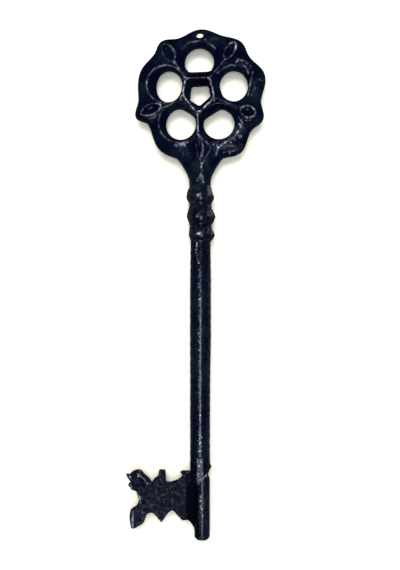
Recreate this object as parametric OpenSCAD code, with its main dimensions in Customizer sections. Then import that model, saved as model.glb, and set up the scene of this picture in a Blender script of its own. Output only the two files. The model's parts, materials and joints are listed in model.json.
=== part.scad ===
// Decorative wall key, hung by the small hole at the top of its bow.
// Upright along Z, front towards -Y, origin at the centre of the hanging hole.

/* [Bow] */
// Distance from the hanging hole down to the hub of the bow
hub_drop = 44.3; // [42:0.1:47]
// Mean radius of the scalloped outline, from the hub
bow_r = 48.5; // [47.5:0.1:50]
// Thickness of the plate between its flat faces
bow_t = 8; // [7:0.2:9]
// How far in from the outline the rounded edge begins
edge_round = 3; // [2:0.1:3.5]
// Diameter of the hanging hole
hang_d = 6.2; // [5:0.1:7]
// Mean diameter of the five round eyes at their throat
eye_d = 23.2; // [22:0.1:24]
// Mean distance of the eyes' centres from the hub
eye_ring_r = 25.8; // [25.5:0.1:26.5]
// Width of the sloping bevel round each eye
eye_bevel = 2.8; // [2:0.1:3.2]
// Depth of the sloping bevel round each eye
eye_bevel_depth = 2.6; // [2:0.1:3.2]
// Corner radius of the pentagon opening at its throat
pent_hole_r = 8.2; // [7.4:0.1:9]
// Corner radius of the raised pentagon crest
pent_crest_r = 14.3; // [13.6:0.1:15]
// Height of the pentagon crest over the plate's face
pent_crest_h = 2.4; // [1.6:0.1:3]
// Height of the spokes' crest where they reach the almonds
spoke_h = 1.6; // [1:0.1:2]
// Width of a spoke at its foot
spoke_w = 8; // [6:0.1:9]
// Mean distance of the almond bosses from the hub
almond_ring_r = 40.3; // [39.8:0.1:41]
// Width of the raised rim round an almond
almond_rim_w = 2.4; // [2:0.1:3]
// Height of the raised rim round an almond over the plate's face
almond_rim_h = 1.3; // [0.8:0.1:1.8]

/* [Neck] */
// Distance from the hub down to the end of the neck
neck_len = 70.3; // [69:0.1:73]
// Radius of the neck where it meets the first collar
neck_r = 8.1; // [7.8:0.1:8.6]
// Depth of the blind socket in the neck
socket_depth = 16; // [12:0.5:17]

/* [Collars] */
// Length of the upper collar
upper_len = 14.7; // [12:0.1:16]
// Length of the middle collar
middle_len = 15.9; // [13:0.1:17]
// Length of the lower collar
lower_len = 13; // [11:0.1:15]
// Radius of the upper collar's bead
upper_bead_r = 10.2; // [9.6:0.1:11]
// Radius of the middle collar's bead
middle_bead_r = 11; // [9.8:0.1:11.4]
// Radius of the lower collar's bead
lower_bead_r = 10.4; // [9.4:0.1:10.6]
// Share of a collar's length that its bead takes
bead_share = 0.78; // [0.7:0.02:0.94]
// Radius of the waists between the beads
waist_r = 8.3; // [8:0.1:8.6]

/* [Shank] */
// Length of the shank from its shoulder to the slanted joint
shank_len = 182.3; // [120:0.1:240]
// Radius of the shank
shank_r = 7.5; // [7.2:0.05:7.7]
// Radius of the tenon that carries the collars
tenon_r = 5.5; // [5:0.05:5.7]
// Slope of the joint between the shank and the bit, in degrees
joint_slope = 44; // [35:1:46]
// How far the cut burr stands out of the shank's flank
burr_out = 1.5; // [0.8:0.1:2]

/* [Bit] */
// Length of the barrel below the slanted joint
barrel_len = 43.7; // [42:0.1:52]
// Radius of the barrel
barrel_r = 5.9; // [5.4:0.1:6.4]
// Thickness of the flag
flag_t = 6.4; // [5:0.1:8]
// Rounding of the barrel's end
tip_round = 3; // [1:0.1:3.5]
// Length of the spigot that goes up into the shank
spigot_len = 36; // [30:0.5:42]
// Radius of the spigot
spigot_r = 3.5; // [3:0.1:4]

/* [Pins] */
// Radius of the pin through the neck and the tenon
bow_pin_r = 2; // [1.5:0.1:2.5]
// Radius of the two pins through the shank and the spigot
bit_pin_r = 1.5; // [1.2:0.1:1.8]
// Distance between the two pins of the bit
bit_pin_pitch = 11; // [8:0.5:14]
// How far the pins' filed ends lie under the painted surface
pin_sink = 0.2; // [0.1:0.05:0.5]

/* [Fits] */
// Radial clearance of a tenon, spigot or pin in its hole
fit_gap = 0.05; // [0.02:0.01:0.1]

/* [Hidden] */
$fn = 64;

paint = [0.05, 0.07, 0.15];
steel = [0.32, 0.33, 0.36];

// Places along the key, measured down from the hanging hole
hub_z = -hub_drop;
neck_end_z = hub_z - neck_len;
middle_top_z = neck_end_z - upper_len;
lower_top_z = middle_top_z - middle_len;
shoulder_z = lower_top_z - lower_len;
joint_z = shoulder_z - shank_len;
tip_z = joint_z - barrel_len;
tenon_end_gap = 1;
tenon_len = neck_end_z + socket_depth - tenon_end_gap - shoulder_z;
barrel_x = shank_r - barrel_r;
// The joint's plane crosses the joint's height this far left of the axis
joint_left = 1;
// The spigot is rooted this far down in the barrel
spigot_root = 18;
// The neck's pin goes through its straight end, and the bit's pins sit astride the spigot's middle
bow_pin_rise = 5;
bow_pin_z = neck_end_z + bow_pin_rise;
bit_pin_place = 0.6;
bit_pin_zs = [for (side = [-0.5, 0.5]) joint_z + spigot_len * bit_pin_place + side * bit_pin_pitch];

// The bow's outline: every lobe and hollow as an angle from +X and its distance from bow_r
scallops = [
    [15, 2.8],
    [36, -1.7],
    [51, 1.6],
    [70, -1.4],
    [88, 0.6],
    [110, -3],
    [127, 1.6],
    [140, -1.9],
    [160, 0.6],
    [184, -1.1],
    [199.5, 4],
    [210, -2.5],
    [238, 4.6],
    [252, 4],
    [288, 3.8],
    [303, 6.6],
    [324, 0.1],
    [337, 3.8],
    [353, -1.6],
    [375, 2.8]
];
outline_step = 3;
outline_points = 360 / outline_step;

// The eyes: angle, extra distance from the hub, extra radius, distance of the flat side from the hub
eyes = [
    [91, -2, -0.4, 16.2],
    [167, -1.6, 0, 13.9],
    [238, 1.7, 0.2, 16.8],
    [302.5, 1.6, 0.5, 18.2],
    [11.5, 0.6, -0.1, 15.5]
];

// The almond bosses: angle, extra distance from the hub, length, width, turn from the spoke's line,
// and extra height over the plate's face
almonds = [
    [126.3, -0.9, 14.2, 7.4, -8, 0],
    [56.8, -0.6, 13.4, 7, 4, 0],
    [197.1, -1, 15.6, 8, 12, 0],
    [341.1, -2.2, 11.6, 8.4, 0, 0],
    [269.4, 1.8, 19, 6.8, 0, 1.2]
];
almond_steps = 16;
almond_slim = 0.35;

// The neck's sections: distance down from the hub as a rise over the neck's end,
// extra half width and extra half depth over neck_r
neck_sections = [
    [0, 0, 0],
    [bow_pin_rise, 0, 0],
    [9, 1.4, 0],
    [13.5, 4.3, -0.4],
    [18, 7, -1.3],
    [22, 10.2, -2.7],
    [27, 13, -3.6],
    [33, 12, -4.3]
];
neck_sides = 40;

// The flag's outline: X from the shank's axis, height over the joint, rounding of the corner
flag_corners = [
    [0, 8.4, 0],
    [-13.4, 8.4, 0.3],
    [-15.3, 7.6, 0],
    [-13.3, 4.7, 0.4],
    [-16.8, 1.6, 1.5],
    [-22.9, -0.5, 2.5],
    [-26, -0.1, 0.4],
    [-26.5, 8.8, 0.3],
    [-31.3, 8.9, 0.5],
    [-32.3, 3.8, 0.4],
    [-34.5, 2.8, 0.4],
    [-37, -0.8, 0.8],
    [-39.3, 2.4, 1],
    [-42.4, 4.6, 1],
    [-45.4, 8.4, 2],
    [-51, 8.2, 3],
    [-54.6, 4.8, 0.2],
    [-57.6, 5.9, 0],
    [-53.3, -0.6, 0.6],
    [-55.5, -3, 0.6],
    [-52.2, -7.1, 1.4],
    [-49.1, -7.5, 1],
    [-46.8, -14.6, 2.4],
    [-48.3, -18.6, 1.6],
    [-53.3, -21.6, 2],
    [-54.5, -27.4, 4],
    [-53.2, -36.4, 2],
    [-50, -36.4, 1.5],
    [-43, -32.2, 2],
    [-41, -25.2, 2.2],
    [-36.3, -23.6, 2.4],
    [-29.4, -31.6, 0.9],
    [-24.2, -24, 2.5],
    [-21, -21.5, 2],
    [-13.8, -29.3, 0.8],
    [-8.6, -29.3, 2.8],
    [-4.7, -34.6, 2],
    [-4.2, -38.4, 0],
    [0, -38.4, 0]
];

// Shared small lengths
overlap = 1;
cut_span = 600;
ridge_root = 1.5;
ridge_foot = 0.2;
edge_root = 0.5;
edge_turn = 75;
edge_turn_step = 25;
tip_turn_step = 15;
collar_steps = 18;
bevel_lip = 0.1;
burr_t = 4;
burr_top = 16;
burr_len = 10;
notch_depth = 2;
notch_rise = 5.9;
notch_low = 2.4;
notch_side_gap = 0.3;

// A value eased from a to b as t goes from 0 to 1
function eased(a, b, t) = a + (b - a) * (1 - cos(180 * t)) / 2;

// Radius of the outline at an angle, eased from one lobe or hollow to the next
function outline_r(deg) =
    let (
        a = deg < scallops[0][0] ? deg + 360 : deg,
        n = max([for (i = [0:len(scallops) - 2]) scallops[i][0] <= a ? i : 0]),
        from = scallops[n],
        to = scallops[n + 1]
    )
    bow_r + eased(from[1], to[1], (a - from[0]) / (to[0] - from[0]));

// A point on the bow's face, from an angle and a distance from the hub
function polar(deg, r) = [r * cos(deg), r * sin(deg)];

// Corners of the pentagon, point down
function pent_corner(i, r) = polar(270 + 72 * i, r);

// Unit vector from p to q
function toward(p, q) = (q - p) / norm(q - p);

// The arc that rounds corner b between a and c
function corner_arc(a, b, c, r, steps = 4) =
    let (
        u = toward(b, a),
        v = toward(b, c),
        half = acos(u * v) / 2,
        reach = min(r / tan(half), norm(a - b) / 2.2, norm(c - b) / 2.2),
        fit_r = reach * tan(half),
        centre = b + toward([0, 0], u + v) * fit_r / sin(half),
        p = b + u * reach - centre,
        q = b + v * reach - centre,
        a0 = atan2(p[1], p[0]),
        turn = atan2(p[0] * q[1] - p[1] * q[0], p * q)
    )
    [for (k = [0:steps]) centre + polar(a0 + turn * k / steps, fit_r)];

// An outline with each corner rounded by its own radius
function rounded(corners) =
    let (n = len(corners))
    [
        for (i = [0:n - 1])
            let (
                a = corners[(i + n - 1) % n],
                b = corners[i],
                c = corners[(i + 1) % n]
            )
            each (b[2] == 0
                ? [[b[0], b[1]]]
                : corner_arc([a[0], a[1]], [b[0], b[1]], [c[0], c[1]], b[2]))
    ];

// Faces of a stack of closed rings, with its two ends
function ring_faces(rings, sides) = [
    for (i = [0:rings - 2])
        for (j = [0:sides - 1])
            let (
                a = i * sides + j,
                b = i * sides + (j + 1) % sides
            )
            each [[a, a + sides, b], [b, a + sides, b + sides]],
    [for (j = [0:sides - 1]) j],
    [for (j = [sides - 1:-1:0]) (rings - 1) * sides + j]
];

// Section of a ridge across the line from p: a roof of the given foot and height, rooted in the plate
function ridge_section(p, side, half_w, h) =
    let (
        root = side * half_w * (h + ridge_root) / h,
        left = p - root,
        right = p + root,
        face = bow_t / 2
    )
    [
        [left[0], left[1], face - ridge_root],
        [right[0], right[1], face - ridge_root],
        [p[0], p[1], face + h]
    ];

// Stands the bow's flat drawing upright, with its face to the front
module stand() {
    translate([0, 0, hub_z])
        rotate([90, 0, 0])
            children();
}

// The same relief on the front and the back face
module both_faces() {
    children();
    mirror([0, 0, 1])
        children();
}

// Solid through a stack of outlines with the same number of points, each with its height
module ring_stack(levels) {
    points = [
        for (level = levels)
            for (p = level[1])
                [p[0], p[1], level[0]]
    ];
    polyhedron(points, ring_faces(len(levels), len(levels[0][1])), convexity = 10);
}

// The bow's outline, drawn in by an inset, with its points turned by an angle
function plate_outline(inset, turn = 0) = [
    for (i = [0:outline_points - 1])
        let (a = i * outline_step + turn)
        polar(a, outline_r(a) - inset)
];

// Scalloped plate: a flat middle, and a rounded edge that is rooted in it
module plate() {
    face = bow_t / 2;
    root = [face - edge_root, plate_outline(edge_round + bow_t / 2)];
    translate([0, 0, -face])
        linear_extrude(bow_t)
            polygon(plate_outline(edge_round, outline_step / 3));
    ring_stack([
        [-root[0], root[1]],
        for (t = [-edge_turn:edge_turn_step:edge_turn]) [face * sin(t), plate_outline(edge_round * (1 - cos(t)))],
        root
    ]);
}

// Straight ridge from p to q
module ridge(p, q, w0, w1, h0, h1) {
    along = toward(p, q);
    side = [-along[1], along[0]];
    points = concat(ridge_section(p, side, w0 / 2, h0), ridge_section(q, side, w1 / 2, h1));
    polyhedron(points, ring_faces(2, 3), convexity = 4);
}

// Almond outline, pointed towards the hub and the edge
function almond_outline(length, width) = [
    for (i = [0:almond_steps - 1])
        let (a = 360 * i / almond_steps)
        [length / 2 * cos(a), width / 2 * sin(a) * (1 - almond_slim * (1 - abs(sin(a))))]
];

// Raised rim round an almond: the slope outside its crest
module almond_boss(length, width, lift) {
    face = bow_t / 2;
    foot = almond_outline(length + almond_rim_w, width + almond_rim_w);
    ring_stack([
        [face - ridge_root, foot],
        [face + lift + ridge_foot, foot],
        [face + lift + almond_rim_h, almond_outline(length, width)]
    ]);
}

// Hollow inside the almond's crest
module almond_hollow(length, width, lift) {
    face = bow_t / 2 + lift;
    ring_stack([
        [face + ridge_foot, almond_outline(length - almond_rim_w, width - almond_rim_w)],
        [face + almond_rim_h, almond_outline(length, width)],
        [face + almond_rim_h + overlap, almond_outline(length, width)]
    ]);
}

// Moves an almond drawn at the origin to its place on the bow
module at_almond(almond) {
    rotate([0, 0, almond[0]])
        translate([almond_ring_r + almond[1], 0, 0])
            rotate([0, 0, almond[4]])
                children();
}

// Neck from the plate down to the first collar, flat at the top and round at its end
module neck() {
    sides = neck_sides;
    points = [
        for (s = neck_sections)
            for (j = [0:sides - 1])
                let (a = 360 * j / sides)
                [(neck_r + s[1]) * cos(a), s[0] - neck_len, -(neck_r + s[2]) * sin(a)]
    ];
    polyhedron(points, ring_faces(len(neck_sections), sides), convexity = 4);
}

// One eye: a straight throat with a bevel on both faces, cut flat on the hub's side
module eye_cut(eye) {
    r = eye_d / 2 + eye[2];
    centre = eye_ring_r + eye[1];
    rotate([0, 0, eye[0]])
        difference() {
            translate([centre, 0, 0]) {
                cylinder(r = r, h = bow_t + 4 * overlap, center = true);
                both_faces()
                    translate([0, 0, bow_t / 2 - eye_bevel_depth - bevel_lip])
                        cylinder(r1 = r, r2 = r + eye_bevel, h = eye_bevel_depth);
                both_faces()
                    translate([0, 0, bow_t / 2 - bevel_lip])
                        cylinder(r = r + eye_bevel, h = pent_crest_h + overlap);
            }
            translate([eye[3] - cut_span, -cut_span / 2, -cut_span / 2])
                cube(cut_span);
        }
}

// Outline of the pentagon, point down
function pent_outline(r) = [for (i = [0:4]) pent_corner(i, r)];

// Pentagon opening: narrow at mid thickness and wide at both crests
module pent_cut() {
    crest_z = bow_t / 2 + pent_crest_h;
    flare = (pent_crest_r - pent_hole_r) / crest_z;
    mouth = pent_outline(pent_crest_r + flare * overlap);
    ring_stack([
        [-crest_z - overlap, mouth],
        [0, pent_outline(pent_hole_r)],
        [crest_z + overlap, mouth]
    ]);
}

// Raised pentagon round the opening, with its outer slope
module pent_boss() {
    crest_z = bow_t / 2 + pent_crest_h;
    root_z = bow_t / 2 - ridge_root;
    foot = pent_outline(pent_crest_r + spoke_w / 2);
    crest = pent_outline(pent_crest_r);
    ring_stack([[-crest_z, crest], [-root_z, foot], [root_z, foot], [crest_z, crest]]);
}

// Spoke from the pentagon's corner to its almond
module spoke(almond) {
    reach = almond_ring_r + almond[1] - almond[2] / 2 - ridge_foot;
    start = polar(almond[0], pent_crest_r - overlap);
    ridge(start, polar(almond[0], reach), spoke_w, almond[3] - almond_rim_w, pent_crest_h, spoke_h);
}

module bow() {
    color(paint)
        difference() {
            stand() {
                plate();
                neck();
                pent_boss();
                both_faces()
                    for (almond = almonds) {
                        spoke(almond);
                        at_almond(almond)
                            almond_boss(almond[2] - almond_rim_w, almond[3] - almond_rim_w, almond[5]);
                    }
            }
            stand() {
                for (eye = eyes)
                    eye_cut(eye);
                pent_cut();
                both_faces()
                    for (almond = almonds)
                        at_almond(almond)
                            almond_hollow(almond[2] - almond_rim_w, almond[3] - almond_rim_w, almond[5]);
            }
            // hanging hole
            rotate([90, 0, 0])
                cylinder(d = hang_d, h = bow_t + 4 * overlap, center = true);
            // blind socket for the tenon
            translate([0, 0, neck_end_z - overlap])
                cylinder(r = tenon_r + fit_gap, h = socket_depth + overlap);
            bow_pin_hole();
        }
}

// One collar: a ring with a rounded bead between two waists
module collar(top_z, length, bead_r, top_r, end_r) {
    reach = length * bead_share / 2;
    profile = concat(
        [[tenon_r + fit_gap, 0]],
        [
            for (i = [0:collar_steps])
                let (
                    t = i / collar_steps,
                    edge = eased(end_r, top_r, t),
                    off = length * (t - 0.5) / reach,
                    swell = max(0, 1 - off * off)
                )
                [edge + (bead_r - edge) * swell, length * t]
        ],
        [[tenon_r + fit_gap, length]]
    );
    translate([0, 0, top_z - length])
        rotate_extrude()
            polygon(profile);
}

module collar_upper() {
    color(paint)
        collar(neck_end_z, upper_len, upper_bead_r, neck_r, waist_r);
}

module collar_middle() {
    color(paint)
        collar(middle_top_z, middle_len, middle_bead_r, waist_r, waist_r);
}

module collar_lower() {
    color(paint)
        collar(lower_top_z, lower_len, lower_bead_r, waist_r, shank_r);
}

// Everything above the slanted joint, when side is 1, or below it, when side is -1
module joint_half(side) {
    translate([-joint_left, 0, joint_z])
        rotate([0, -joint_slope, 0])
            translate([0, 0, side * cut_span / 2])
                cube(cut_span, center = true);
}

// Burr left on the right flank where the bar was cut
module burr() {
    root_x = shank_r - overlap;
    point = [shank_r + burr_out, burr_top - burr_len / 2];
    translate([0, burr_t / 2, joint_z])
        rotate([90, 0, 0])
            linear_extrude(burr_t)
                polygon([[root_x, burr_top], point, [root_x, burr_top - burr_len]]);
}

// Notch in the right flank beside the joint, from the burr's point down to the barrel
module notch_cut() {
    inner = [shank_r - notch_depth, notch_rise];
    upper = [shank_r + burr_out, burr_top - burr_len / 2 - notch_side_gap];
    lower = [shank_r + notch_side_gap, notch_low];
    translate([0, shank_r + overlap, joint_z])
        rotate([90, 0, 0])
            linear_extrude(2 * (shank_r + overlap))
                polygon([inner, upper, [upper[0] + overlap, upper[1]], [upper[0] + overlap, lower[1]], lower]);
}

module shank() {
    color(paint)
        difference() {
            union() {
                intersection() {
                    translate([0, 0, tip_z])
                        cylinder(r = shank_r, h = shoulder_z - tip_z);
                    joint_half(1);
                }
                translate([0, 0, shoulder_z - overlap])
                    cylinder(r = tenon_r, h = tenon_len + overlap);
                burr();
            }
            // socket for the bit's spigot
            translate([0, 0, joint_z - cut_span / 2])
                cylinder(r = spigot_r + fit_gap, h = cut_span / 2 + spigot_len + tenon_end_gap);
            notch_cut();
            bow_pin_hole();
            bit_pin_holes();
        }
}

// Flag with its wards, thin beside the round barrel
module flag() {
    translate([0, flag_t / 2, joint_z])
        rotate([90, 0, 0])
            linear_extrude(flag_t)
                polygon(rounded(flag_corners));
}

// Barrel with its top cut to the joint and its end rounded
module barrel() {
    intersection() {
        translate([barrel_x, 0, tip_z])
            rotate_extrude()
                polygon(concat(
                    [[0, 0]],
                    [for (a = [-90:tip_turn_step:0]) [barrel_r - tip_round, tip_round] + polar(a, tip_round)],
                    [[barrel_r, barrel_len + cut_span / 4], [0, barrel_len + cut_span / 4]]
                ));
        joint_half(-1);
    }
}

module bit() {
    color(paint)
        difference() {
            union() {
                barrel();
                difference() {
                    flag();
                    // the flag's root is hollowed to the round shank
                    intersection() {
                        translate([0, 0, tip_z])
                            cylinder(r = shank_r + fit_gap, h = cut_span);
                        joint_half(1);
                    }
                }
                translate([0, 0, joint_z - spigot_root])
                    cylinder(r = spigot_r, h = spigot_root + spigot_len);
            }
            notch_cut();
            bit_pin_holes();
        }
}

// A pin across the key, filed flush with both flanks
module cross_pin(z, r, flank_r) {
    translate([0, 0, z])
        rotate([0, 90, 0])
            cylinder(r = r, h = 2 * (flank_r - pin_sink), center = true);
}

// Hole across the key for a pin
module cross_hole(z, r) {
    translate([0, 0, z])
        rotate([0, 90, 0])
            cylinder(r = r + fit_gap, h = cut_span, center = true);
}

module bow_pin_hole() {
    cross_hole(bow_pin_z, bow_pin_r);
}

module bit_pin_holes() {
    for (z = bit_pin_zs)
        cross_hole(z, bit_pin_r);
}

module bow_pin() {
    color(steel)
        cross_pin(bow_pin_z, bow_pin_r, neck_r);
}

module bit_pins() {
    color(steel)
        for (z = bit_pin_zs)
            cross_pin(z, bit_pin_r, shank_r);
}

bow();
collar_upper();
collar_middle();
collar_lower();
shank();
bit();
bow_pin();
bit_pins();
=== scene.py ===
import json
import math

import bpy
import numpy as np
from mathutils import Matrix, Vector, noise
from mathutils.geometry import delaunay_2d_cdt

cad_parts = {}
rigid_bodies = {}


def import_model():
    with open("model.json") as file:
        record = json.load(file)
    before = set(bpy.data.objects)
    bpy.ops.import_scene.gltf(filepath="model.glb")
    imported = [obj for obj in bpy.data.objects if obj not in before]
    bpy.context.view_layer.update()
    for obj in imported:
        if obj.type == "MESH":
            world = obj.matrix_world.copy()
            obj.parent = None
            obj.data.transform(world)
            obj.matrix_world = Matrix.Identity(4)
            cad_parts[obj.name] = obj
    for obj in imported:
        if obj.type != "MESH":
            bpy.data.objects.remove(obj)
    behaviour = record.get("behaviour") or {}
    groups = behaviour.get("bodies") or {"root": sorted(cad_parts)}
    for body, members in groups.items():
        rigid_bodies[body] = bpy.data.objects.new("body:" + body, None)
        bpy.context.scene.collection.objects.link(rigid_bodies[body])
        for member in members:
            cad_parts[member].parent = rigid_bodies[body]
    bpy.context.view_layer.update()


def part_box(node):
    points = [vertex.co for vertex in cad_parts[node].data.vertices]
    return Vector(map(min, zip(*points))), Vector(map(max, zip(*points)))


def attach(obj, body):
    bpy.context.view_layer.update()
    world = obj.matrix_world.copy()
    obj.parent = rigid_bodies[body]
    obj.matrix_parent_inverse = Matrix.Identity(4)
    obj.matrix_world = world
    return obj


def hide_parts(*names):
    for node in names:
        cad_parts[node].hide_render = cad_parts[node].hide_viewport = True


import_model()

# The bow: the scalloped, pierced head of the key, one iron casting with its neck.
# It is cast in a two-part mould, so the front and the back carry the same relief,
# and the round neck is bored for the tenon of the shank.
MM = 0.001
hub_z = -44.3
neck_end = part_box("bow")[0][2] / MM - hub_z
plate_half = 4.0
mean_r = 48.5

# each lobe and hollow of the outline: angle from the right, distance from the mean radius
scallops = [
    (15, 2.8), (36, -1.7), (51, 1.6), (70, -1.4), (88, 0.6), (110, -3), (127, 1.6),
    (140, -1.9), (160, 0.6), (184, -1.1), (199.5, 4), (210, -2.5), (238, 4.6), (252, 4),
    (288, 3.8), (303, 6.6), (324, 0.1), (337, 3.8), (353, -1.6), (375, 2.8),
]

# each eye: angle, distance from the hub, radius, distance of its flat side from the hub,
# how much taller than wide it is, then its rim's crest: centre from its own centre, radius
eyes = [
    (91, 23.9, 11.2, 16.2, 0, (-0.3, -0.6), 16.2),
    (166.5, 24.1, 11.3, 13.6, 1.2, (-2.6, 0.9), 14.4),
    (238, 27.3, 11.8, 16.6, 0.3, (-1.5, 0.6), 15.4),
    (302, 27.4, 11.8, 18.2, 0, (0.4, -0.9), 15.4),
    (12, 26.3, 11.4, 15.5, 0.6, (-0.8, -1.0), 16.0),
]
# how sharp the corners of an eye's flat side are, and how wide its rim is at the least
eye_corner, least_rim = 18, 0.8

# the pentagon's crest and its hole, and the spokes that run from the crest's corners
pentagon_crest = [(7.7, 10.8), (-10.5, 10.6), (-13.1, -2.4), (-1.4, -16.6), (11.1, -4.6)]
crest_cut = 3.2
pentagon_hole = [
    (6.4, 6.4, 1.5), (-6.6, 5.6, 1.5), (-7.6, -5.4, 1.5), (-0.2, -9.9, 1.5), (8.2, -2.6, 1.5),
]
spokes = [
    [(7.7, 10.8), (17.0, 21.6), (18.8, 26.6)],
    [(-10.5, 10.6), (-14.1, 15.2), (-19.8, 24.8)],
    [(-13.1, -2.4), (-22.1, -9.0), (-29.8, -11.4)],
    [(-1.4, -16.6), (-1.4, -31.7), (-0.2, -34.2)],
    [(11.1, -4.6), (23.7, -9.3), (31.6, -12.3)],
]
# each almond: centre, half length, half width, the angle that it points along
almonds = [
    ((22.6, 30.7), 7.4, 3.6, 57),
    ((-23.7, 30.0), 8.0, 4.2, 120),
    ((-37.0, -12.8), 8.2, 4.0, 203),
    ((0.1, -42.1), 9.4, 2.6, 273),
    ((36.3, -15.4), 5.8, 4.4, 342),
]
# veins that run down over the neck, and seams and folds on the lobes: points, height, and a rub that also
# paints a highlight along them
veins = [
    ([(0.9, -51.5), (1.3, -56.5), (1.8, -61.5), (2.7, -68.5)], 0.6, 0.5),
    ([(8.2, -43.5), (5.0, -49.0), (1.3, -56.5)], 0.75, 0.35),
    ([(1.8, -61.5), (-2.2, -67.5)], 0.6, 0.45),
    ([(3.7, 39.6), (11.5, 32.9)], 0.5, 0.8),
    ([(30.7, 23.8), (34.2, 23.0), (38.8, 19.6)], 0.4, 0.4),
    ([(32.2, 20.3), (35.3, 17.7), (36.8, 13.8)], 0.4, 0.4),
    ([(29.3, -19.1), (32.6, -24.0), (30.2, -28.1), (26.0, -33.9), (19.4, -38.0), (13.6, -42.1)],
     0.5, 0.8),
    ([(24, -33), (31.5, -33.5)], 0.3, 0.4),
    ([(-19.5, -40.0), (-12.1, -38.8)], 0.4, 0.55),
]
# crumpled spots where the casting cooled badly: centre, reach, height
crumples = [
    ((30, -21), 4.5, 0.5), ((28.5, -28), 4.5, 0.7), ((21, -36.5), 5, 0.7), ((13, -41), 5, 0.5),
    ((28, 24), 3.5, 0.4), ((34, 23), 4, 0.5), ((36.5, 18), 3.5, 0.4), ((36, 8), 4, 0.2),
    ((8, 37), 5, 0.5), ((-15, -39), 4, 0.4), ((15, -47), 4.5, 0.5), ((37, -24), 4, 0.3),
]
# the neck by height over the hub: its half thickness, its half width and the round of its edge,
# and how far from the axis its thickness fades out
neck_top = -40
neck_reach, neck_fade = 26, 14
neck_depth = [(-71, 8.1), (-61.3, 8.1), (-56.8, 7.6), (-52.3, 6.7), (-47, 5.4), (-42, 4.4), (-36, 4.0)]
neck_width = [
    (-71, 8.1), (-66, 8.3), (-62.7, 9.2), (-59.6, 10.8), (-56.6, 12.5), (-52.3, 15.2), (-48.3, 18.8),
    (-45, 23),
]
neck_round = [(-71, 8.1), (-65.3, 8.1), (-61.3, 8.8), (-56.8, 9.6), (-52.3, 9.0), (-47, 5.5), (-43, 3.0)]
# half thickness at the pentagon's crest, the eyes' rims, the spokes, the almonds' rims and the lips
crest_high, rim_high, spoke_high, almond_high, lip_half = 6.4, 4.9, 5.3, 5.8, 1.0
# the crest's height gives way to the rims' from this far from the hub inwards, over this length
crest_from, crest_over = 31, 17
# how fast a crest, a spoke and an almond's rim fall away, and how blunt their tops are
crest_width, spoke_fall, almond_fall = 0.8, 0.75, 1.25
crest_round, almond_round = 0.7, 0.35
# the hollow in an almond: its depth, and how far from the rim it is reached
almond_hollow, hollow_reach = 2.3, 1.6
# an almond's outline: 2 makes an ellipse, and less makes its ends sharper
almond_full = 1.7
vein_half = 1.5


def eased(t):
    t = np.clip(t, 0, 1)
    return t * t * (3 - 2 * t)


def lookup(x, pairs):
    return np.interp(x, *zip(*sorted(pairs)))


def outward(angle):
    """The direction of each angle, as a point one unit from the centre."""
    return np.stack([np.cos(angle), np.sin(angle)], axis=1)


def whole_turn(count):
    return np.linspace(0, 2 * np.pi, count, endpoint=False)


def lumps(p, size, seed=0.0):
    """Smooth swells of about the given size at each point, between -1 and 1."""
    shift = Vector((seed * 7.3, seed * 3.1, seed * 5.7))
    return np.array([noise.noise(Vector(q) / size + shift) for q in p])


def along(points, step):
    """The same line, with a point at every step."""
    points = [np.array(p, float) for p in points]
    line = [points[0]]
    for a, b in zip(points, points[1:]):
        n = max(1, round(float(np.linalg.norm(b - a)) / step))
        line += [a + (b - a) * k / n for k in range(1, n + 1)]
    return np.array(line)


def rounded(corners):
    """An outline with each corner rounded by an arc that begins at the given distance from it."""
    line = []
    for n, (x, z, cut) in enumerate(corners):
        b = np.array([x, z])
        a = np.array(corners[n - 1][:2]) - b
        c = np.array(corners[(n + 1) % len(corners)][:2]) - b
        la, lc = np.linalg.norm(a), np.linalg.norm(c)
        cut = min(cut, la / 2.2, lc / 2.2)
        if cut == 0:
            line.append(b)
            continue
        pull = math.sqrt(max(0.0, (1 - a @ c / (la * lc)) / 2))
        for t in np.linspace(0, 1, 7):
            share = np.array([(1 - t) ** 2, 2 * pull * t * (1 - t), t * t])
            line.append(share @ np.array([b + a / la * cut, b, b + c / lc * cut]) / share.sum())
    return along([*line, line[0]], 0.5)[:-1]


def line_distance(p, line):
    """Distance of each point from a line of straight stretches."""
    line = np.array(line, float)
    best = np.full(len(p), 1e9)
    for a, b in zip(line, line[1:]):
        ab = b - a
        t = np.clip(((p - a) @ ab) / (ab @ ab), 0, 1)
        best = np.minimum(best, np.linalg.norm(p - a - t[:, None] * ab, axis=1))
    return best


def inside(p, loop):
    """Which points lie inside a closed outline."""
    odd = np.zeros(len(p), bool)
    for a, b in zip(loop, np.roll(loop, -1, axis=0)):
        spans = (a[1] > p[:, 1]) != (b[1] > p[:, 1])
        if a[1] != b[1]:
            odd ^= spans & (p[:, 0] < (b[0] - a[0]) * (p[:, 1] - a[1]) / (b[1] - a[1]) + a[0])
    return odd


def reach(loop, centre, angle):
    """How far an outline lies from a centre inside it, in each direction."""
    d = outward(angle)
    best = np.full(len(angle), 1e9)
    loop = [np.array(q, float) - centre for q in loop]
    for a, b in zip(loop, loop[1:] + loop[:1]):
        side = b - a
        cross = d[:, 0] * side[1] - d[:, 1] * side[0]
        cross = np.where(abs(cross) < 1e-9, 1e-9, cross)
        r = (a[0] * side[1] - a[1] * side[0]) / cross
        t = (a[0] * d[:, 1] - a[1] * d[:, 0]) / cross
        best = np.where((r > 0) & (t > -1e-6) & (t < 1 + 1e-6), np.minimum(best, r), best)
    return best


def blunt_least(a, b, power):
    """The smaller of two lengths, with the corner where they cross rounded off."""
    return (a ** -power + b ** -power) ** (-1 / power)


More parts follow.
